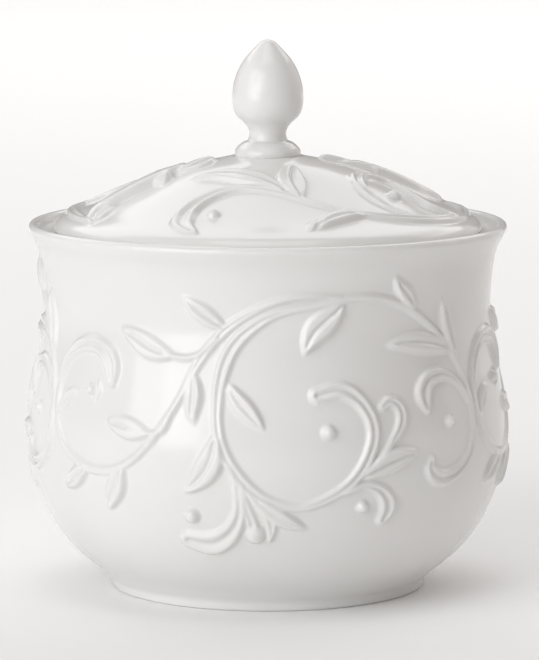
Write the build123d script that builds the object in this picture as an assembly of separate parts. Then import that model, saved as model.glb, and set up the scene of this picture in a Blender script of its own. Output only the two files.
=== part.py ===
from build123d import *
import os
from math import cos, radians, sin

# Covered sugar bowl in glazed porcelain: a bellied bowl with an inner ledge, a domed
# lid that drops onto that ledge, and a bud-shaped finial luted to the top of the lid.
# Millimetres, +Z up, origin on the table at the centre of the foot ring.
# Every outline is drawn as (radius, height) pairs and turned about the Z axis.

# Driving dimensions
HEIGHT = 112.0             # table to the tip of the finial
BELLY_RADIUS = 48.75       # widest part of the body
BELLY_HEIGHT = 31.0
THROAT_RADIUS = 45.6       # narrowest part, under the flared lip
THROAT_HEIGHT = 58.5
WALL = 3.4                 # side wall
FLOOR = 3.5                # floor above the foot recess

# Foot ring that the bowl stands on, nearly upright, with a soft cove above it
FOOT_RADIUS = 32.15
FOOT_HEIGHT = 1.5
FOOT_FLARE = 0.25          # how far the ring widens on its way up to the cove
FOOT_WIDTH = 3.8
FOOT_RECESS = 2.0
FOOT_EDGE = 0.7            # rounding of the standing edges

# Rounded lip, and the ledge inside it that carries the lid
LIP_RADIUS = 0.97          # half the thickness of the lip
LIP_CENTRE = (47.93, 73.95)
LIP_START_ANGLE = -25.0    # where the outer side runs into the round of the lip
LIP_END_ANGLE = 185.0      # where the round ends, inside
LEDGE_HEIGHT = 73.3
LEDGE_OUTER_RADIUS = 46.5
LEDGE_INNER_RADIUS = 41.9
LEDGE_EDGE = 0.6
LEDGE_CORNER = 0.3         # rounding where the ledge meets the inside of the lip

# Lid: a low dome with a round edge and a locating flange that hangs in the throat
LID_RADIUS = 43.8
LID_EDGE_HEIGHT = 0.6      # upright part of the edge above the ledge
LID_SEAT_EDGE = 0.48       # rounding under the edge
LID_PAD_RADIUS = 7.4       # flat at the top for the finial
LID_PAD_HEIGHT = 88.35
LID_WALL = 3.2
FLANGE_RADIUS = 41.0
FLANGE_DEPTH = 5.0
FLANGE_THICKNESS = 2.4
FLANGE_TAPER = 0.3         # how far the outside of the flange draws in towards its foot
FLANGE_INNER_TAPER = 0.2
FLANGE_EDGE = 0.9

# Finial
BUD_RADIUS = 7.3
BUD_HEIGHT = 99.9          # height of the widest part of the bud
NECK_RADIUS = 3.79
NECK_HEIGHT = 93.1
TIP_RADIUS = 2.6           # round of the pointed top
TIP_START_ANGLE = 43.0
COLLAR_RADIUS = 6.75       # widest part of the round collar
COLLAR_FOOT_RADIUS = 6.6   # where the collar meets the lid


def on_circle(centre, radius, angle):
    """Point on a circle, with the angle in degrees from the outward direction."""
    turn = radians(angle)
    return (centre[0] + radius * cos(turn), centre[1] + radius * sin(turn))


def curve(points, start, end):
    """Smooth curve through points that leaves along start and arrives along end."""
    return Spline(points, tangents=[start, end], tangent_scalars=[1.0, 1.0])


def turned(outline, rounded=()):
    """Solid of revolution of a closed outline; rounded lists (corner point, radius)."""
    face = make_face(outline)
    for corner, radius in rounded:
        nearest = face.vertices().sort_by_distance((corner[0], corner[1], 0))[0]
        face = fillet(nearest, radius)
    upright = Rot(90, 0, 0) * face
    return revolve(upright, Axis.Z)


def bowl():
    """Body, foot ring, lip and ledge in one piece, as it is moulded."""
    foot_top = (FOOT_RADIUS + FOOT_FLARE, FOOT_HEIGHT)
    lip_start = on_circle(LIP_CENTRE, LIP_RADIUS, LIP_START_ANGLE)
    lip_top = on_circle(LIP_CENTRE, LIP_RADIUS, 90)
    lip_end = on_circle(LIP_CENTRE, LIP_RADIUS, LIP_END_ANGLE)
    lean = radians(LIP_START_ANGLE)
    outside = curve(
        [
            foot_top,
            (33.3, 2.7),
            (34.95, 4.15),
            (38.4, 7.0),
            (43.6, 13.1),
            (47.3, 21.5),
            (BELLY_RADIUS, BELLY_HEIGHT),
            (47.85, 42.0),
            (46.3, 51.5),
            (THROAT_RADIUS, THROAT_HEIGHT),
            (46.1, 65.6),
            (47.3, 70.8),
            lip_start,
        ],
        start=(0.2, 0.98),
        end=(-sin(lean), cos(lean)),
    )
    lip = ThreePointArc(lip_start, lip_top, lip_end)

    floor_height = FOOT_RECESS + FLOOR
    floor_edge = (25.0, floor_height)
    ledge_inside = (LEDGE_INNER_RADIUS, LEDGE_HEIGHT)
    ledge_outside = (LEDGE_OUTER_RADIUS, LEDGE_HEIGHT)
    inside = curve(
        [
            ledge_inside,
            (42.05, 67.0),
            (THROAT_RADIUS - WALL, THROAT_HEIGHT),
            (44.2, 43.5),
            (BELLY_RADIUS - WALL, BELLY_HEIGHT),
            (43.9, 21.5),
            (40.3, 13.4),
            (34.0, 7.6),
            floor_edge,
        ],
        start=(0, -1),
        end=(-1, 0),
    )
    recess_edge = (FOOT_RADIUS - FOOT_WIDTH, FOOT_RECESS)
    ring_inside = (FOOT_RADIUS - FOOT_WIDTH, 0)
    ring_outside = (FOOT_RADIUS, 0)
    rest = Polyline(
        floor_edge,
        (0, floor_height),
        (0, FOOT_RECESS),
        recess_edge,
        ring_inside,
        ring_outside,
        foot_top,
    )
    ledge = Polyline(lip_end, ledge_outside, ledge_inside)
    rounded = [
        (ring_inside, FOOT_EDGE),
        (ring_outside, FOOT_EDGE),
        (recess_edge, FOOT_EDGE),
        (ledge_inside, LEDGE_EDGE),
        (ledge_outside, LEDGE_CORNER),
    ]
    return turned(outside + lip + ledge + inside + rest, rounded)


def lid():
    """Domed cover with its round edge and the flange that keeps it centred."""
    edge_top = (41.7, 76.15)
    edge_side = (LID_RADIUS, LEDGE_HEIGHT + LID_EDGE_HEIGHT)
    edge_middle = (43.2, 75.1)
    dome = curve(
        [
            (LID_PAD_RADIUS, LID_PAD_HEIGHT),
            (13.5, 86.95),
            (22.5, 83.85),
            (30.8, 80.25),
            (36.5, 77.9),
            edge_top,
        ],
        start=(0.97, -0.24),
        end=(0.93, -0.37),
    )
    edge = ThreePointArc(edge_top, edge_middle, edge_side)
    flange_foot = LEDGE_HEIGHT - FLANGE_DEPTH
    flange_inside = FLANGE_RADIUS - FLANGE_THICKNESS
    under_edge = (flange_inside, 73.5)
    underside = curve(
        [
            under_edge,
            (36.4, 74.75),
            (30.0, 77.1),
            (21.5, 80.75),
            (12.5, 83.9),
            (0, LID_PAD_HEIGHT - LID_WALL),
        ],
        start=(-0.6, 0.8),
        end=(-1, 0),
    )
    foot_outside = (FLANGE_RADIUS - FLANGE_TAPER, flange_foot)
    foot_inside = (flange_inside + FLANGE_INNER_TAPER, flange_foot)
    seat_outside = (LID_RADIUS, LEDGE_HEIGHT)
    seat_inside = (FLANGE_RADIUS, LEDGE_HEIGHT)
    rim = Polyline(edge_side, seat_outside, seat_inside, foot_outside, foot_inside, under_edge)
    top = Polyline((0, LID_PAD_HEIGHT - LID_WALL), (0, LID_PAD_HEIGHT), (LID_PAD_RADIUS, LID_PAD_HEIGHT))
    rounded = [
        (seat_outside, LID_SEAT_EDGE),
        (foot_outside, FLANGE_EDGE),
        (foot_inside, FLANGE_EDGE),
    ]
    return turned(dome + edge + rim + underside + top, rounded)


def finial():
    """Bud on a waisted neck, with the low round collar that is luted to the lid."""
    collar_foot = (COLLAR_FOOT_RADIUS, LID_PAD_HEIGHT)
    tip = (0, HEIGHT)
    tip_centre = (0, HEIGHT - TIP_RADIUS)
    tip_start = on_circle(tip_centre, TIP_RADIUS, TIP_START_ANGLE)
    tip_middle = on_circle(tip_centre, TIP_RADIUS, (TIP_START_ANGLE + 90) / 2)
    lean = radians(TIP_START_ANGLE)
    neck_foot = (4.1, 91.45)
    collar = curve(
        [
            collar_foot,
            (COLLAR_RADIUS, 88.95),
            (6.5, 89.75),
            (5.8, 90.55),
            (4.85, 91.2),
            neck_foot,
        ],
        start=(0.5, 0.87),
        end=(-0.95, 0.31),
    )
    outside = curve(
        [
            neck_foot,
            (3.86, 92.2),
            (NECK_RADIUS, NECK_HEIGHT),
            (4.55, 94.75),
            (6.3, 96.45),
            (BUD_RADIUS, BUD_HEIGHT),
            (6.65, 104.2),
            (4.75, 108.0),
            tip_start,
        ],
        start=(-0.3, 0.95),
        end=(-sin(lean), cos(lean)),
    )
    point = ThreePointArc(tip_start, tip_middle, tip)
    rest = Polyline(tip, (0, LID_PAD_HEIGHT), collar_foot)
    return turned(collar + outside + point + rest)


os.makedirs("parts", exist_ok=True)
for name, shape in (("bowl", bowl()), ("lid", lid()), ("finial", finial())):
    export_step(shape, f"parts/{name}.step")
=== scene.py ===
import math

import bpy
import numpy as np
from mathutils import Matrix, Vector


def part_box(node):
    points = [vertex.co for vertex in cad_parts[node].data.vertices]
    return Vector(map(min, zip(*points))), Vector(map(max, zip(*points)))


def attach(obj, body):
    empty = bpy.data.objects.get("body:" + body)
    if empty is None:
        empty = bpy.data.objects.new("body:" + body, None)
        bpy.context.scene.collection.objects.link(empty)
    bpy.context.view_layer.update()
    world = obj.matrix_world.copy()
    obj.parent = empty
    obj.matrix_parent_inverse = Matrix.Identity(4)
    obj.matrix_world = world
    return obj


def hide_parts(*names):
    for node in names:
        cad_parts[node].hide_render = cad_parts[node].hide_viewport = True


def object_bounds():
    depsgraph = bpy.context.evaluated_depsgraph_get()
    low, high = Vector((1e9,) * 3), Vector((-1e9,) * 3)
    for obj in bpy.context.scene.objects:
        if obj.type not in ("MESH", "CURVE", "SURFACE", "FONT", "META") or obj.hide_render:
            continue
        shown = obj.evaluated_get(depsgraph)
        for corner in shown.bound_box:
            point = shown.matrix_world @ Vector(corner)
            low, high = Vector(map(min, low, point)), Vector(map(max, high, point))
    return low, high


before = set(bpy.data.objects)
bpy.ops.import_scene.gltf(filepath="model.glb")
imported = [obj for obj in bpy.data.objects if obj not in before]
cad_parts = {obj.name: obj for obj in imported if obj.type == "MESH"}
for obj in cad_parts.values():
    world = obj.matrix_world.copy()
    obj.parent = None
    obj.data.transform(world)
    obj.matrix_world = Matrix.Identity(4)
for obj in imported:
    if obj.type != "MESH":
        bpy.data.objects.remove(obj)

# A covered sugar bowl in white glazed porcelain. The three visible pieces stand on the
# CAD bodies: each is a closed turned mesh, and the bowl and the lid carry a moulded vine
# of fluted stems, scrolls, leaves and pearls that is raised from the turned surface.
# Outlines are in millimetres as (radius, height), turned about the upright axis.

START_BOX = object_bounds()
MM = 0.001

# Bowl outline, as on the CAD part
BOWL_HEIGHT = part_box("bowl")[1].z / MM
BELLY_RADIUS = 48.75
BELLY_HEIGHT = 31.0
THROAT_RADIUS = 45.6
THROAT_HEIGHT = 58.5
WALL = 3.4
FLOOR = 3.5
FLOOR_RADIUS = 25.0                          # flat part of the floor inside
FOOT_RADIUS = 32.15
FOOT_HEIGHT = 1.5
FOOT_FLARE = 0.25                            # how far the ring widens on its way up
FOOT_WIDTH = 3.8
FOOT_EDGE = 0.7                              # rounding of the standing edges
FOOT_RECESS = 2.0
LIP_RADIUS = 0.97                            # half the thickness of the lip
LIP_CENTRE = (47.93, BOWL_HEIGHT - LIP_RADIUS)
LIP_START_ANGLE = -25                        # where the outside runs into the round of the lip
LIP_END_ANGLE = 185                          # where the round ends, inside
LEDGE_HEIGHT = 73.3
LEDGE_OUTER_RADIUS = 46.5
LEDGE_INNER_RADIUS = 41.9
LEDGE_EDGE = 0.6

# Lid outline
LID_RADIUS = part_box("lid")[1].x / MM
LID_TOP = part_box("finial")[0].z / MM         # flat at the top of the lid, under the finial
LID_PAD_RADIUS = 7.4
LID_WALL = 3.2
LID_EDGE_HEIGHT = 0.6                        # upright part of the edge above the ledge
LID_EDGE_TOP = (41.7, 76.15)                 # where the round edge runs into the dome
LID_SEAT_EDGE = 0.48                         # rounding under the edge
FLANGE_RADIUS = 41.0
FLANGE_DEPTH = 5.0
FLANGE_THICKNESS = 2.4
FLANGE_TAPER = 0.3                           # how far the outside draws in towards its foot
FLANGE_INNER_TAPER = 0.2
FLANGE_EDGE = 0.9

# Finial outline
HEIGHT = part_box("finial")[1].z / MM
BUD_RADIUS = 7.3
BUD_HEIGHT = 99.9
NECK_RADIUS = 3.79
NECK_HEIGHT = 93.1
TIP_RADIUS = 2.6
TIP_START_ANGLE = 43
COLLAR_RADIUS = 6.75
COLLAR_FOOT_RADIUS = 6.6                     # where the collar meets the lid
COLLAR_SINK = 0.2                            # how deep the collar is bedded in the lid

# How finely the turned surfaces are divided
BOWL_COLUMNS = 960
LID_COLUMNS = 720
PLAIN_COLUMNS = 240                          # inside and underneath, where nothing is raised
FINIAL_COLUMNS = 120
RELIEF_STEP = 0.3                            # spacing of the rings where there is ornament
PLAIN_STEP = 1.6
FINIAL_STEP = 0.22
PATH_STEP = 0.6                              # spacing of the points along a stroke

# Ornament
BOWL_REPEATS = 3
LID_REPEATS = 2
BOWL_RELIEF = 1.1                            # how far a full stem of the vine stands out
LID_RELIEF = 1.1
BOWL_VINE = (11, 71)                         # heights between which the bowl carries its vine
BOWL_VINE_RADIUS = 46.9                      # mean radius of the bowl there
DEGREE = math.radians(BOWL_VINE_RADIUS)      # width of one degree of the vine, in mm
LID_VINE_RADIUS = 9                          # the lid's vine stays outside this
LID_VINE_HEIGHT = 74.5                       # and above this
LID_VINE_MARGIN = 0.6                        # plain strip at the lid's edge
LID_VINE_FADE = 1.6                          # width over which the vine sinks to that strip
GLAZE_PASSES = 1                             # how often the relief is softened
GLAZE_SPREAD = 0.2                           # share of its height each neighbour takes

# Cross-sections of the strokes, in mm unless they are shares
STEM_EDGE = 0.9                              # width of a stem's rounded shoulder
STEM_FULL = 0.7                              # half width from which a stem has its full height
FLUTE_DEPTH = 0.75                           # share of the height
FLUTE_WIDTH = 0.34                           # share of the half width
FLUTE_START = 0.55                           # half width at which the flute begins
FLUTE_FULL = 1.0                             # half width at which it is fully cut
RIDGE_SLOPE = 0.64                           # height for each millimetre of half width
RIDGE_EDGE = 0.6
LEAF_EDGE = 0.8
LEAF_BASE = 0.25                             # half width of a leaf where it leaves its stem
LEAF_FULL = 1.1                              # half width from which a leaf has its full height
LEAF_HEIGHT = 0.95                           # share of the relief
LEAF_TILT = 0.15                             # one half is higher by this, the other lower
LEAF_SWELL = 0.95                            # below 1, a leaf is widest nearer its base
MIDRIB_DEPTH = 0.6
MIDRIB_WIDTH = 0.34
MIDRIB_END = 0.25                            # share of the leaf over which the midrib runs out
PEARL_HEIGHT = 1.3                           # tallest pearl
THINNEST = 0.2                               # least half width of a stroke
REACH = 0.4                                  # margin round a stroke where its height is worked out

# Camera, in metres
LENS = 239.06                                # focal length in mm, for the sensor below
SENSOR_WIDTH = 36
LENS_SHIFT = 0.0026                          # sideways, as a share of the picture's width
CAMERA_PLACE = (0, -0.8909, 0.1731)
CAMERA_TARGET = (0, 0, 0.0524)


# ---------------------------------------------------------------- curves and outlines


def spline(points, spacing, start=None, end=None):
    """Smooth clamped cubic through points, sampled about every spacing along its length."""
    points = np.array(points, float)
    steps = np.diff(points, axis=0)
    lengths = np.hypot(steps[:, 0], steps[:, 1])
    first = steps[0] / lengths[0] if start is None else np.array(start) / np.hypot(*start)
    last = steps[-1] / lengths[-1] if end is None else np.array(end) / np.hypot(*end)
    count = len(points)
    matrix = np.eye(count)
    right = np.zeros_like(points)
    right[0] = first
    right[-1] = last
    for i in range(1, count - 1):
        before, after = lengths[i - 1], lengths[i]
        matrix[i, i - 1 : i + 2] = (after, 2 * (before + after), before)
        right[i] = 3 * (after * steps[i - 1] / before + before * steps[i] / after)
    slopes = np.linalg.solve(matrix, right)
    knots = np.concatenate([[0], np.cumsum(lengths)])
    along = np.linspace(0, knots[-1], int(math.ceil(knots[-1] / spacing)) + 1)
    piece = np.clip(np.searchsorted(knots, along) - 1, 0, count - 2)
    span = lengths[piece][:, None]
    t = (along - knots[piece])[:, None] / span
    return (
        (1 + 2 * t) * (1 - t) ** 2 * points[piece]
        + t * (1 - t) ** 2 * span * slopes[piece]
        + t**2 * (3 - 2 * t) * points[piece + 1]
        + t**2 * (t - 1) * span * slopes[piece + 1]
    )


def arc(centre, radius, start, end, count):
    """Points on an arc from start to end degrees, measured from the outward direction."""
    turn = np.radians(np.linspace(start, end, count))
    return np.stack([centre[0] + radius * np.cos(turn), centre[1] + radius * np.sin(turn)], 1)


def line(start, end, count):
    """Points on a straight line, both ends included."""
    return np.linspace(start, end, count)


def outline(*parts):
    """Parts joined end to end; a point that repeats the one before it is dropped."""
    points = np.concatenate(parts)
    apart = np.hypot(*np.diff(points, axis=0).T) > 1e-6
    return points[np.concatenate([[True], apart])]


# ---------------------------------------------------------------- ornament


def smooth(x):
    """0 below 0, 1 above 1, with soft ends."""
    x = np.clip(x, 0, 1)
    return x * x * (3 - 2 * x)


def rounded(inset, edge):
    """0 at the edge of a stroke, rising steeply and easing to 1 at edge inwards."""
    share = np.clip(inset / edge, 0, 1)
    return 1 - (1 - share) ** 2


# A section gives the height of a stroke from the distance to its path, the side on which
# the point lies (1 left, -1 right), the half width there, the way gone along the path, and
# the whole length of the path.


def stem_height(distance, side, width, along, length):
    """Round-shouldered band; where it is broad a flute runs down its middle."""
    flute = FLUTE_DEPTH * smooth((width - FLUTE_START) / (FLUTE_FULL - FLUTE_START))
    groove = np.exp(-((distance / (FLUTE_WIDTH * width)) ** 2))
    top = rounded(width - distance, np.minimum(STEM_EDGE, width))
    return top * (1 - flute * groove) * smooth(width / STEM_FULL)


def ridge_height(distance, side, width, along, length):
    """Step as tall as its path is wide: steep on the right, running out on the left."""
    steep = rounded(width - distance, RIDGE_EDGE)
    gentle = smooth(1 - distance / width)
    return RIDGE_SLOPE * width * np.where(side > 0, gentle, steep)


def leaf_height(distance, side, width, along, length):
    """Blade with a cut midrib; one half stands higher than the other."""
    share = along / length
    blade = width * np.sin(math.pi * share**LEAF_SWELL) + LEAF_BASE * (1 - share)
    groove = np.exp(-((distance / MIDRIB_WIDTH) ** 2)) * smooth((1 - share) / MIDRIB_END)
    top = LEAF_HEIGHT + LEAF_TILT * side - MIDRIB_DEPTH * groove
    return rounded(blade - distance, LEAF_EDGE) * top * smooth(blade / LEAF_FULL)


def pearl_height(distance, radius):
    """Round drop, as tall as half a ball of its radius unless it is a large one."""
    return min(radius, PEARL_HEIGHT) * np.sqrt(np.clip(1 - (distance / radius) ** 2, 0, 1))


def nearest_on_path(u, v, path):
    """What a section needs to know about the points (u, v) and a (u, v, half width) path."""
    a = path[:-1]
    step = path[1:] - a
    squared = step[:, 0] ** 2 + step[:, 1] ** 2
    du = u[:, None] - a[:, 0]
    dv = v[:, None] - a[:, 1]
    t = np.clip((du * step[:, 0] + dv * step[:, 1]) / squared, 0, 1)
    gap = np.hypot(du - t * step[:, 0], dv - t * step[:, 1])
    best = np.argmin(gap, axis=1)
    row = np.arange(len(u))
    t = t[row, best]
    side = np.sign(step[best, 0] * dv[row, best] - step[best, 1] * du[row, best])
    starts = np.concatenate([[0], np.cumsum(np.sqrt(squared))])
    along = starts[best] + t * np.sqrt(squared)[best]
    width = a[best, 2] + t * step[best, 2]
    return gap[row, best], side, along, np.maximum(width, THINNEST), starts[-1]


def raise_strokes(heights, u, v, strokes):
    """Raises heights to the tallest of the strokes at each point (u, v)."""
    for section, points in strokes:
        if section is pearl_height:
            centre_u, centre_v, radius = points
            distance = np.hypot(u - centre_u, v - centre_v)
            np.maximum(heights, pearl_height(distance, radius), out=heights)
            continue
        path = spline(points, PATH_STEP)
        reach = path[:, 2].max() + REACH
        low = path.min(axis=0) - reach
        high = path.max(axis=0) + reach
        near = (u > low[0]) & (u < high[0]) & (v > low[1]) & (v < high[1])
        if not near.any():
            continue
        distance, side, along, width, length = nearest_on_path(u[near], v[near], path)
        raised = section(distance, side, width, along, length)
        heights[near] = np.maximum(heights[near], raised)


def softened(heights):
    """Fills sharp corners, as glaze does. Columns wrap round."""
    kept = 1 - 2 * GLAZE_SPREAD
    for _ in range(GLAZE_PASSES):
        beside = np.roll(heights, 1, 1) + np.roll(heights, -1, 1)
        heights = kept * heights + GLAZE_SPREAD * beside
        inner = kept * heights[1:-1] + GLAZE_SPREAD * (heights[2:] + heights[:-2])
        heights = np.concatenate([heights[:1], inner, heights[-1:]])
    return heights


def stem(*points):
    """Stem through (u, v, half width) points."""
    return (stem_height, points)


def ridge(*points):
    """One-sided ridge through (u, v, half width) points."""
    return (ridge_height, points)


def leaf(half_width, *points):
    """Leaf from its base to its tip, through (u, v) points."""
    return (leaf_height, [(u, v, half_width) for u, v in points])


def pearl(u, v, radius):
    """Pearl at (u, v)."""
    return (pearl_height, (u, v, radius))


# One repeat of the bowl's vine, as (degrees round the belly, height in mm)

BOWL_STEMS = [
    # long fluted stem that runs over the top, then winds down into the big scroll
    stem(
        (57.1, 36.5, 0.9), (57.0, 41.5, 0.9), (55.3, 46.5, 0.85), (50, 53.3, 0.8),
        (42, 59.1, 0.8), (34, 62.8, 0.8), (26, 64.4, 0.8), (18, 64.2, 0.8), (10, 63, 0.8),
        (2, 61.7, 1.0), (-4, 58.9, 1.35), (-8.6, 55, 1.6), (-10.9, 50.5, 1.55),
        (-11.9, 44, 1.2), (-11.5, 38.5, 1.15), (-9.7, 34, 1.2), (-6.5, 29.9, 1.25),
        (-2.2, 26.4, 1.15), (4, 24.2, 0.95), (8.5, 23.9, 0.9), (12.6, 25, 1.0),
        (19.3, 28.4, 1.2), (24, 34, 1.35), (25.3, 38.5, 1.4), (22.9, 43.6, 1.5),
        (17.5, 46.6, 1.8), (11.7, 45.8, 1.65),
    ),
    # second stem, a single ridge, that ends in the left-hand scroll
    stem(
        (18, 64.9, 0.4), (6, 64.9, 0.65), (-4, 62, 0.9), (-12, 57.2, 1.1), (-17.7, 50.8, 0.95),
        (-21.3, 44.7, 0.75), (-26, 38.5, 0.75), (-32.5, 32.5, 0.8), (-40, 29.5, 0.9),
        (-50, 30.2, 0.95), (-57.8, 34.8, 0.9), (-60.7, 42, 0.9), (-58.8, 49.4, 1.25),
        (-53.5, 53, 1.6), (-48, 53.8, 1.8), (-43.4, 52.6, 2.05), (-41, 49.8, 2.1),
        (-40.6, 46.8, 1.2),
    ),
    # short broad scroll under the big one's left side
    stem(
        (-9.2, 33.5, 0.3), (-7.7, 29.5, 0.7), (-6.7, 25.5, 1.05), (-7.0, 21.8, 1.5),
        (-9.6, 18.2, 2.2), (-14.4, 16.2, 2.5), (-19.6, 16.9, 1.9),
    ),
    # stalk and curl of the bud at the right of that scroll
    stem((-6, 28.5, 0.6), (-4.9, 24, 0.9), (-3.4, 19.9, 1.3)),
    stem((-5, 27.5, 0.5), (-1.3, 23.3, 0.9), (0.9, 20, 1.1), (0.5, 17.4, 0.7)),
    # curls on the right of the big scroll
    stem(
        (22.2, 29.4, 0.4), (27.0, 33.2, 0.6), (31, 37, 1.0), (33, 40.3, 1.3), (32.2, 43, 1.3),
        (29.9, 43.9, 1.2), (27.9, 42.9, 0.9),
    ),
    stem(
        (18, 26.4, 0.5), (22, 27.6, 0.8), (25.6, 27.2, 1.15), (28.4, 25.4, 1.6),
        (29.4, 22.8, 1.9), (28.4, 20.6, 1.3),
    ),
    # pair of scrolls on the far right
    stem(
        (56.4, 41.5, 0.5), (53.5, 45, 0.8), (49.5, 47.4, 1.1), (44.5, 48, 1.5),
        (41.1, 46.6, 1.9), (39.9, 44.2, 2.0), (40.9, 41.4, 0.8),
    ),
    stem(
        (57.2, 38.5, 0.9), (56.4, 33.5, 1.0), (52.5, 29.4, 1.3), (47, 27.6, 1.7),
        (42.8, 28.2, 1.75), (41, 30.2, 1.3), (41.6, 32, 0.6),
    ),
    # small hook beside the left-hand pearl
    stem((-44.9, 46.6, 0.4), (-44.3, 44.9, 0.45), (-45.2, 43.2, 0.4)),
    # stalks of two leaves
    stem((-12.5, 57, 0.6), (-17, 53.5, 0.6), (-21, 52.7, 0.6), (-26, 53.5, 0.6)),
    stem((-23, 42, 0.5), (-25.5, 38.2, 0.55), (-29, 37.8, 0.6), (-34, 38.3, 0.6)),
]

BOWL_LEAVES = [
    leaf(1.4, (-58.8, 37.5), (-57.5, 40.5), (-55, 43), (-51.2, 44.8)),
    leaf(1.8, (-9.8, 58.5), (-14, 60.5), (-18, 62.8), (-21.9, 65.4)),
    leaf(2.3, (-22.5, 52.8), (-28.5, 53.9), (-34, 56), (-39.8, 58.2)),
    leaf(1.7, (-17.9, 50.2), (-17.7, 45.6), (-17.9, 42.3), (-17.2, 39.3)),
    leaf(1.8, (-10, 48.5), (-6.9, 44.8), (-3.9, 42), (-0.2, 38.4)),
    leaf(2.2, (-28, 37.5), (-33, 38.1), (-37.3, 38.9), (-41.8, 39.7)),
    leaf(2.2, (-35.6, 31), (-37.8, 27), (-39.7, 24), (-41.5, 20.9)),
    leaf(1.9, (-46.5, 30), (-51, 27.4), (-54.2, 25.7), (-57.2, 24.4)),
    leaf(2.5, (-12, 38.8), (-12.9, 33.8), (-15.6, 29.7), (-20.3, 26)),
    leaf(1.7, (-4, 26.6), (1.2, 22.8), (5.4, 20.7), (10.6, 18.8)),
    leaf(2.6, (19.2, 63.8), (14.9, 60.6), (11.3, 57.8), (8.4, 53.1)),
    leaf(1.6, (39.6, 61.2), (36, 64.5), (33.8, 66.5), (32.1, 69)),
    leaf(2.0, (53.4, 50.5), (51.2, 55.5), (49.8, 59.5), (48.4, 63.9)),
    leaf(2.2, (52, 52.2), (45.2, 53.9), (37.6, 54.9), (29.1, 54.7)),
    leaf(2.2, (21.6, 29), (27.8, 31.6), (32.2, 32.8), (38.6, 33.8)),
]

BOWL_PEARLS = [
    pearl(-47.1, 45.0, 1.2),
    pearl(-18.2, 21.8, 1.45),
    pearl(-3.0, 18.4, 2.0),
    pearl(14.2, 38.6, 1.35),
    pearl(22.8, 23.4, 1.2),
    pearl(48.2, 38.7, 1.15),
]

# One repeat of the lid's vine, as (across, front to back) in mm from the middle of the lid

LID_STEMS = [
    # stem that runs forward beside the rim and winds into the front scroll
    stem(
        (35.2, 20.5, 0.5), (38.4, 10, 1.1), (39.9, 0, 1.3), (38.9, -9.5, 1.4),
        (34.6, -18.6, 1.6), (27, -24.8, 1.5), (18.5, -27.6, 1.0), (11, -27.5, 0.8),
        (4.5, -25.4, 0.9), (-0.9, -23.4, 1.0), (-6.4, -22.5, 1.3), (-12.2, -24.5, 1.85),
        (-16.3, -29.3, 2.4), (-16.7, -34, 2.2), (-14.4, -37.8, 0.8),
    ),
    # ridge that runs from the side scroll out towards the rim
    ridge(
        (21.5, -1.2, 0.4), (25.6, -4.2, 1.2), (29.6, -8.2, 1.7), (33.2, -11.2, 1.8),
        (37.6, -11.4, 1.2),
    ),
    # side scroll, which opens towards the rim
    stem(
        (27, -5.6, 0.8), (23.6, -3.8, 1.2), (20, -5.4, 1.5), (17.9, -10.5, 1.7),
        (18.9, -16, 1.5), (22.8, -20.2, 1.1), (28.5, -22, 0.6),
    ),
    # ridge at the left that climbs from the rim towards the finial
    ridge(
        (-36.2, -16.6, 0.9), (-34.5, -12.0, 2.2), (-31.4, -9.6, 2.8), (-27.2, -7.8, 3.1),
        (-22.6, -5.9, 3.0), (-18.6, -4.2, 2.3), (-14.6, -1.9, 0.5),
    ),
    # lobe at the front of that ridge
    ridge((-20.9, -11, 0.6), (-21.5, -8.6, 2.5), (-22.1, -6.2, 2.7)),
]

LID_LEAVES = [
    leaf(2.9, (4.2, -24.6), (-2, -19.2), (-8, -15.9), (-16.4, -13.2)),
    leaf(3.0, (6.9, -26.6), (4.9, -20.6), (4.6, -16), (5.6, -11.3)),
    leaf(2.0, (20, -27.6), (15.2, -30.2), (11.9, -33.6), (9.3, -38.4)),
    leaf(1.1, (10.6, -32.5), (8.9, -35.4), (8, -39.2)),
    leaf(1.5, (-34.8, -20.4), (-32.4, -15.2), (-29.8, -11.2)),
    leaf(2.6, (-18.4, -7.6), (-15.4, -5.9), (-12.8, -3.9), (-10.2, -1.2)),
]

LID_PEARLS = [
    pearl(-10.7, -31.1, 1.25),
    pearl(25.4, -13.2, 1.4),
]


def bowl_ornament(rings):
    """Height of the vine on each ring of the bowl, for every column."""
    count = BOWL_COLUMNS // BOWL_REPEATS
    repeat = 360 / BOWL_REPEATS
    angles = (np.arange(count) / count - 0.5) * repeat
    u, v = np.meshgrid(angles * DEGREE, rings[:, 1])
    heights = np.zeros(u.size)
    for turn in (-repeat, 0, repeat):
        strokes = []
        for section, points in BOWL_STEMS + BOWL_LEAVES:
            moved = [((angle + turn) * DEGREE, height, width) for angle, height, width in points]
            strokes.append((section, moved))
        for section, (angle, height, radius) in BOWL_PEARLS:
            strokes.append((section, ((angle + turn) * DEGREE, height, radius)))
        raise_strokes(heights, u.ravel(), v.ravel(), strokes)
    one = heights.reshape(u.shape)
    return softened(np.tile(one, (1, BOWL_REPEATS))) * BOWL_RELIEF


def lid_ornament(rings):
    """Height of the vine on each ring of the lid, for every column."""
    angles = (np.arange(LID_COLUMNS) / LID_COLUMNS - 0.5) * 2 * math.pi
    turn, radius = np.meshgrid(angles, rings[:, 0])
    across = (radius * np.sin(turn)).ravel()
    back = (-radius * np.cos(turn)).ravel()
    heights = np.zeros(across.size)
    for repeat in range(LID_REPEATS):
        way = 2 * math.pi * repeat / LID_REPEATS
        u = across * math.cos(way) - back * math.sin(way)
        v = across * math.sin(way) + back * math.cos(way)
        raise_strokes(heights, u, v, LID_STEMS + LID_LEAVES + LID_PEARLS)
    fade = smooth((LID_RADIUS - LID_VINE_MARGIN - radius) / LID_VINE_FADE)
    return softened(heights.reshape(turn.shape)) * fade * LID_RELIEF


# ---------------------------------------------------------------- turned meshes


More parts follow.
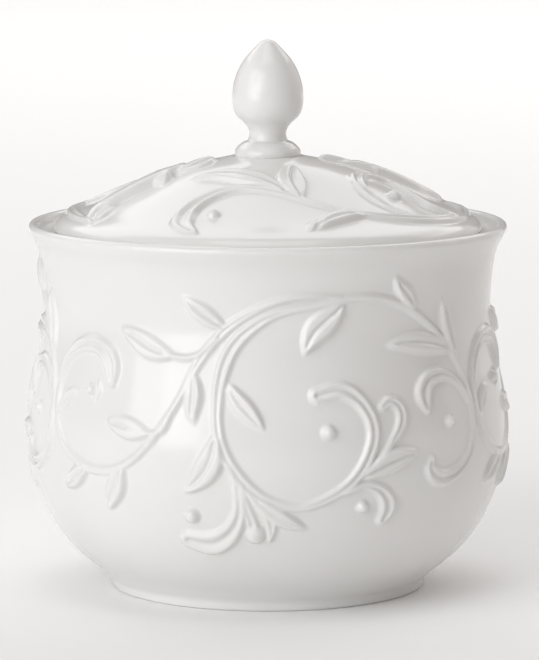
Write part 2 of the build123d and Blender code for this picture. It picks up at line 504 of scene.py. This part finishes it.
def outward(points):
    """Unit normals of an outline that runs with the outside on its right."""
    along = np.gradient(points, axis=0)
    normal = np.stack([along[:, 1], -along[:, 0]], 1)
    return normal / np.hypot(normal[:, 0], normal[:, 1])[:, None]


def ring_points(point, normal, columns, heights):
    """One ring of vertices, pushed out along its normal. Column 0 is at the back."""
    turn = (np.arange(columns) / columns - 0.5) * 2 * math.pi
    radius = point[0] + normal[0] * heights
    height = point[1] + normal[1] * heights
    spread = np.broadcast_to(radius, turn.shape)
    level = np.broadcast_to(height, turn.shape)
    return np.stack([spread * np.sin(turn), -spread * np.cos(turn), level], 1) * MM


def band_faces(lower, upper, lower_count, upper_count):
    """Faces between two rings, which may have different numbers of columns."""
    if lower_count == upper_count:
        j = np.arange(lower_count)
        k = (j + 1) % lower_count
        return np.stack([lower + j, lower + k, upper + k, upper + j], 1).tolist()
    if lower_count > upper_count:
        share = lower_count // upper_count
        return [
            [lower + (j * share + i) % lower_count for i in range(share + 1)]
            + [upper + (j + 1) % upper_count, upper + j]
            for j in range(upper_count)
        ]
    share = upper_count // lower_count
    return [
        [lower + j, lower + (j + 1) % lower_count]
        + [upper + (j * share + i) % upper_count for i in range(share, -1, -1)]
        for j in range(lower_count)
    ]


def turned_mesh(name, points, columns, raised=None):
    """Closed mesh of an outline that starts and ends on the axis.

    columns holds the number of vertices in each ring, and raised holds, for the rings that
    carry ornament, the height at each column.
    """
    raised = raised or {}
    normals = outward(points)
    rings = [np.array([[0, 0, points[0, 1]]]) * MM]
    for i in range(1, len(points) - 1):
        heights = raised.get(i, np.zeros(1))
        rings.append(ring_points(points[i], normals[i], columns[i], heights))
    rings.append(np.array([[0, 0, points[-1, 1]]]) * MM)
    starts = np.cumsum([0] + [len(ring) for ring in rings])
    count = columns[1]
    faces = [[0, 1 + (j + 1) % count, 1 + j] for j in range(count)]
    for i in range(1, len(rings) - 2):
        faces += band_faces(starts[i], starts[i + 1], columns[i], columns[i + 1])
    top = starts[-2]
    count = columns[-2]
    last = starts[-3]
    faces += [[last + j, last + (j + 1) % count, top] for j in range(count)]
    mesh = bpy.data.meshes.new(name)
    mesh.from_pydata(np.concatenate(rings), [], faces)
    mesh.validate()
    mesh.shade_smooth()
    piece = bpy.data.objects.new(name, mesh)
    bpy.context.scene.collection.objects.link(piece)
    return piece


def bowl_outline():
    """Outline from the middle of the recess, up the outside, and down to the floor."""
    ring_inside = FOOT_RADIUS - FOOT_WIDTH
    recess = line((0, FOOT_RECESS), (ring_inside - FOOT_EDGE, FOOT_RECESS), 8)
    recess_round = arc((ring_inside - FOOT_EDGE, FOOT_RECESS - FOOT_EDGE), FOOT_EDGE, 90, 0, 5)
    foot_inner = arc((ring_inside + FOOT_EDGE, FOOT_EDGE), FOOT_EDGE, 180, 270, 5)
    flare = math.atan2(FOOT_FLARE, FOOT_HEIGHT)
    foot_centre = FOOT_RADIUS - FOOT_EDGE * math.tan((math.pi / 2 - flare) / 2)
    foot_end = 360 - math.degrees(flare)
    foot_outer = arc((foot_centre, FOOT_EDGE), FOOT_EDGE, 270, foot_end, 8)
    foot_top = (FOOT_RADIUS + FOOT_FLARE, FOOT_HEIGHT)
    foot_side = line(foot_outer[-1], foot_top, 5)
    lean = math.radians(LIP_START_ANGLE)
    lip = arc(LIP_CENTRE, LIP_RADIUS, LIP_START_ANGLE, LIP_END_ANGLE, 18)
    outside = spline(
        [
            foot_top, (33.3, 2.7), (34.95, 4.15), (38.4, 7.0), (43.6, 13.1), (47.3, 21.5),
            (BELLY_RADIUS, BELLY_HEIGHT), (47.85, 42.0), (46.3, 51.5),
            (THROAT_RADIUS, THROAT_HEIGHT), (46.1, 65.6), (47.3, 70.8), lip[0],
        ],
        RELIEF_STEP,
        start=(0.2, 0.98),
        end=(-math.sin(lean), math.cos(lean)),
    )
    ledge_corner = (LEDGE_INNER_RADIUS + LEDGE_EDGE, LEDGE_HEIGHT)
    ledge = line((LEDGE_OUTER_RADIUS, LEDGE_HEIGHT), ledge_corner, 5)
    ledge_centre = (LEDGE_INNER_RADIUS + LEDGE_EDGE, LEDGE_HEIGHT - LEDGE_EDGE)
    ledge_round = arc(ledge_centre, LEDGE_EDGE, 90, 180, 5)
    floor_height = FOOT_RECESS + FLOOR
    floor_edge = (FLOOR_RADIUS, floor_height)
    inside = spline(
        [
            ledge_round[-1], (42.05, 67.0), (THROAT_RADIUS - WALL, THROAT_HEIGHT), (44.2, 43.5),
            (BELLY_RADIUS - WALL, BELLY_HEIGHT), (43.9, 21.5), (40.3, 13.4), (34.0, 7.6),
            floor_edge,
        ],
        PLAIN_STEP,
        start=(0, -1),
        end=(-1, 0),
    )
    floor = line(floor_edge, (0, floor_height), 8)
    return outline(
        recess, recess_round, foot_inner, foot_outer, foot_side, outside, lip, ledge,
        ledge_round, inside, floor,
    )


def lid_outline():
    """Outline from the middle of the underside, round the flange, and up to the top."""
    flange_inside = FLANGE_RADIUS - FLANGE_THICKNESS
    underside = spline(
        [
            (flange_inside, 73.5), (36.4, 74.75), (30, 77.1), (21.5, 80.75), (12.5, 83.9),
            (0, LID_TOP - LID_WALL),
        ],
        PLAIN_STEP,
        start=(-0.6, 0.8),
        end=(-1, 0),
    )[::-1]
    foot = LEDGE_HEIGHT - FLANGE_DEPTH + FLANGE_EDGE
    inner_centre = (flange_inside + FLANGE_INNER_TAPER + FLANGE_EDGE, foot)
    outer_centre = (FLANGE_RADIUS - FLANGE_TAPER - FLANGE_EDGE, foot)
    foot_inner = arc(inner_centre, FLANGE_EDGE, 180, 270, 6)
    foot_outer = arc(outer_centre, FLANGE_EDGE, 270, 360, 6)
    flange = line(foot_outer[-1], (FLANGE_RADIUS, LEDGE_HEIGHT), 5)
    seat_end = LID_RADIUS - LID_SEAT_EDGE
    seat = line((FLANGE_RADIUS, LEDGE_HEIGHT), (seat_end, LEDGE_HEIGHT), 4)
    seat_round = arc((seat_end, LEDGE_HEIGHT + LID_SEAT_EDGE), LID_SEAT_EDGE, 270, 360, 5)
    edge = spline(
        [(LID_RADIUS, LEDGE_HEIGHT + LID_EDGE_HEIGHT), (43.2, 75.1), LID_EDGE_TOP],
        RELIEF_STEP,
        start=(0, 1),
        end=(-0.93, 0.37),
    )
    pad_edge = (LID_PAD_RADIUS, LID_TOP)
    dome = spline(
        [pad_edge, (13.5, 86.95), (22.5, 83.85), (30.8, 80.25), (36.5, 77.9), LID_EDGE_TOP],
        RELIEF_STEP,
        start=(0.97, -0.24),
        end=(0.93, -0.37),
    )[::-1]
    pad = line(pad_edge, (0, LID_TOP), 4)
    return outline(underside, foot_inner, foot_outer, flange, seat, seat_round, edge, dome, pad)


def build_bowl():
    """Bowl in one piece, with many columns from the foot's outer edge to the ledge."""
    points = bowl_outline()
    index = np.arange(len(points))
    radius, height = points.T
    fine_start = np.argmax(radius > FOOT_RADIUS - FOOT_EDGE)
    on_ledge = (index > fine_start) & (height == LEDGE_HEIGHT)
    fine_end = np.argmax(on_ledge & (radius < LEDGE_OUTER_RADIUS))
    columns = np.where((index < fine_start) | (index >= fine_end), PLAIN_COLUMNS, BOWL_COLUMNS)
    low, high = BOWL_VINE
    carved = index[(index > fine_start) & (index < fine_end) & (height > low) & (height < high)]
    heights = bowl_ornament(points[carved])
    return turned_mesh("bowl_porcelain", points, columns, dict(zip(carved, heights)))


def build_lid():
    """Lid in one piece, with many columns from the seat outwards and over the dome."""
    points = lid_outline()
    index = np.arange(len(points))
    radius, height = points.T
    fine_start = np.argmax(radius > FLANGE_RADIUS)
    columns = np.where(index < fine_start, PLAIN_COLUMNS, LID_COLUMNS)
    on_dome = (height > LID_VINE_HEIGHT) & (radius > LID_VINE_RADIUS)
    carved = index[(index > fine_start) & on_dome]
    heights = lid_ornament(points[carved])
    return turned_mesh("lid_porcelain", points, columns, dict(zip(carved, heights)))


def build_finial():
    """Bud, neck and round collar; the collar's foot is bedded in the lid."""
    lean = math.radians(TIP_START_ANGLE)
    tip = arc((0, HEIGHT - TIP_RADIUS), TIP_RADIUS, TIP_START_ANGLE, 90, 10)
    bed = LID_TOP - COLLAR_SINK
    collar_foot = (COLLAR_FOOT_RADIUS, LID_TOP)
    neck_foot = (4.1, 91.45)
    collar = spline(
        [collar_foot, (COLLAR_RADIUS, 88.95), (6.5, 89.75), (5.8, 90.55), (4.85, 91.2), neck_foot],
        FINIAL_STEP,
        start=(0.5, 0.87),
        end=(-0.95, 0.31),
    )
    outside = spline(
        [
            neck_foot, (3.86, 92.2), (NECK_RADIUS, NECK_HEIGHT), (4.55, 94.75), (6.3, 96.45),
            (BUD_RADIUS, BUD_HEIGHT), (6.65, 104.2), (4.75, 108.0), tip[0],
        ],
        FINIAL_STEP,
        start=(-0.3, 0.95),
        end=(-math.sin(lean), math.cos(lean)),
    )
    foot = line((0, bed), (COLLAR_FOOT_RADIUS, bed), 4)
    points = outline(foot, collar, outside, tip)
    columns = np.full(len(points), FINIAL_COLUMNS)
    return turned_mesh("finial_porcelain", points, columns)


# ---------------------------------------------------------------- finish and studio


def glaze(name):
    """Glossy off-white glaze: faint cloudiness in the colour and a slow ripple."""
    material = bpy.data.materials.new(name)
    material.use_nodes = True
    nodes = material.node_tree.nodes
    links = material.node_tree.links
    shader = nodes["Principled BSDF"]
    shader.inputs["Roughness"].default_value = 0.13
    shader.inputs["IOR"].default_value = 1.5

    place = nodes.new("ShaderNodeTexCoord")
    cloud = nodes.new("ShaderNodeTexNoise")
    cloud.inputs["Scale"].default_value = 35
    cloud.inputs["Detail"].default_value = 3
    tone = nodes.new("ShaderNodeValToRGB")
    tone.color_ramp.elements[0].position = 0.35
    tone.color_ramp.elements[0].color = (0.775, 0.77, 0.76, 1)
    tone.color_ramp.elements[1].position = 0.65
    tone.color_ramp.elements[1].color = (0.80, 0.795, 0.79, 1)
    links.new(place.outputs["Object"], cloud.inputs["Vector"])
    links.new(cloud.outputs["Fac"], tone.inputs["Fac"])
    links.new(tone.outputs["Color"], shader.inputs["Base Color"])

    ripple = nodes.new("ShaderNodeTexNoise")
    ripple.inputs["Scale"].default_value = 120
    ripple.inputs["Detail"].default_value = 2
    bump = nodes.new("ShaderNodeBump")
    bump.inputs["Strength"].default_value = 0.12
    bump.inputs["Distance"].default_value = 0.0003
    links.new(place.outputs["Object"], ripple.inputs["Vector"])
    links.new(ripple.outputs["Fac"], bump.inputs["Height"])
    links.new(bump.outputs["Normal"], shader.inputs["Normal"])
    return material


def plain(name, colour, roughness):
    """Uniform matt material."""
    material = bpy.data.materials.new(name)
    material.use_nodes = True
    shader = material.node_tree.nodes["Principled BSDF"]
    shader.inputs["Base Color"].default_value = (*colour, 1)
    shader.inputs["Roughness"].default_value = roughness
    return material


def studio_floor():
    """Wide pale floor under the bowl, part of the studio and not of the object."""
    bpy.ops.mesh.primitive_plane_add(size=40, location=(0, 0, START_BOX[0].z))
    plane = bpy.context.object
    plane.name = "studio_floor"
    plane.data.materials.append(plain("studio_floor", (0.97, 0.97, 0.97), 0.9))


def soft_light(name, azimuth, elevation, distance, size, power, colour=(1, 1, 1)):
    """Rectangular soft light aimed at the object; azimuth runs from the front to the right."""
    light = bpy.data.lights.new(name, "AREA")
    light.shape = "RECTANGLE"
    light.size, light.size_y = size
    light.energy = power
    light.color = colour
    lamp = bpy.data.objects.new(name, light)
    side = math.radians(azimuth)
    rise = math.radians(elevation)
    level = math.cos(rise)
    away = Vector((math.sin(side) * level, -math.cos(side) * level, math.sin(rise)))
    lamp.location = away * distance + Vector((0, 0, HEIGHT * MM / 2))
    lamp.rotation_euler = away.to_track_quat("Z", "Y").to_euler()
    bpy.context.scene.collection.objects.link(lamp)
    return lamp


def studio():
    """A soft window on the left, fill, rim and overhead lights, and a bright floor behind."""
    warm = (1, 0.94, 0.905)
    world = bpy.data.worlds.new("studio")
    world.use_nodes = True
    room = world.node_tree.nodes["Background"]
    room.inputs["Color"].default_value = (*warm, 1)
    room.inputs["Strength"].default_value = 0.26
    bpy.context.scene.world = world
    bpy.context.scene.view_settings.view_transform = "Standard"
    soft_light("window", -45, 19, 1.4, (1.25, 1.4), 11.3)
    soft_light("window_middle", -42, 11, 1.4, (0.5, 0.8), 1.8)
    soft_light("window_sill", -50, -1, 1.4, (1.0, 0.5), 0.5)
    soft_light("front_fill", -18, 26, 1.6, (1.0, 0.9), 1.9)
    soft_light("right_rim", 125, 15, 1.8, (2.0, 1.4), 6.2, warm)
    soft_light("overhead", 0, 80, 1.35, (0.8, 0.8), 3.1)
    behind = soft_light("behind", 180, 38, 2.4, (4, 2.2), 40)
    behind.rotation_euler = (0, 0, 0)        # faces straight down, to brighten the floor


def camera():
    """Long lens in front, a little above the object and looking slightly down."""
    eye = bpy.data.cameras.new("camera")
    eye.lens = LENS
    eye.sensor_width = SENSOR_WIDTH
    eye.shift_x = LENS_SHIFT
    eye.clip_end = 100
    body = bpy.data.objects.new("camera", eye)
    body.location = CAMERA_PLACE
    ahead = Vector(CAMERA_TARGET) - body.location
    body.rotation_euler = ahead.to_track_quat("-Z", "Y").to_euler()
    bpy.context.scene.collection.objects.link(body)
    bpy.context.scene.camera = body


def dress(piece, body, nodes, slot):
    """Puts a piece on its body, in place of the CAD nodes, with a glaze of its own."""
    piece.data.materials.append(glaze(slot))
    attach(piece, body)
    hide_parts(*nodes)


dress(build_bowl(), "bowl", ["bowl"], "bowl_glaze")
dress(build_lid(), "lid", ["lid"], "lid_glaze")
dress(build_finial(), "lid", ["finial"], "finial_glaze")
studio_floor()
studio()
camera()
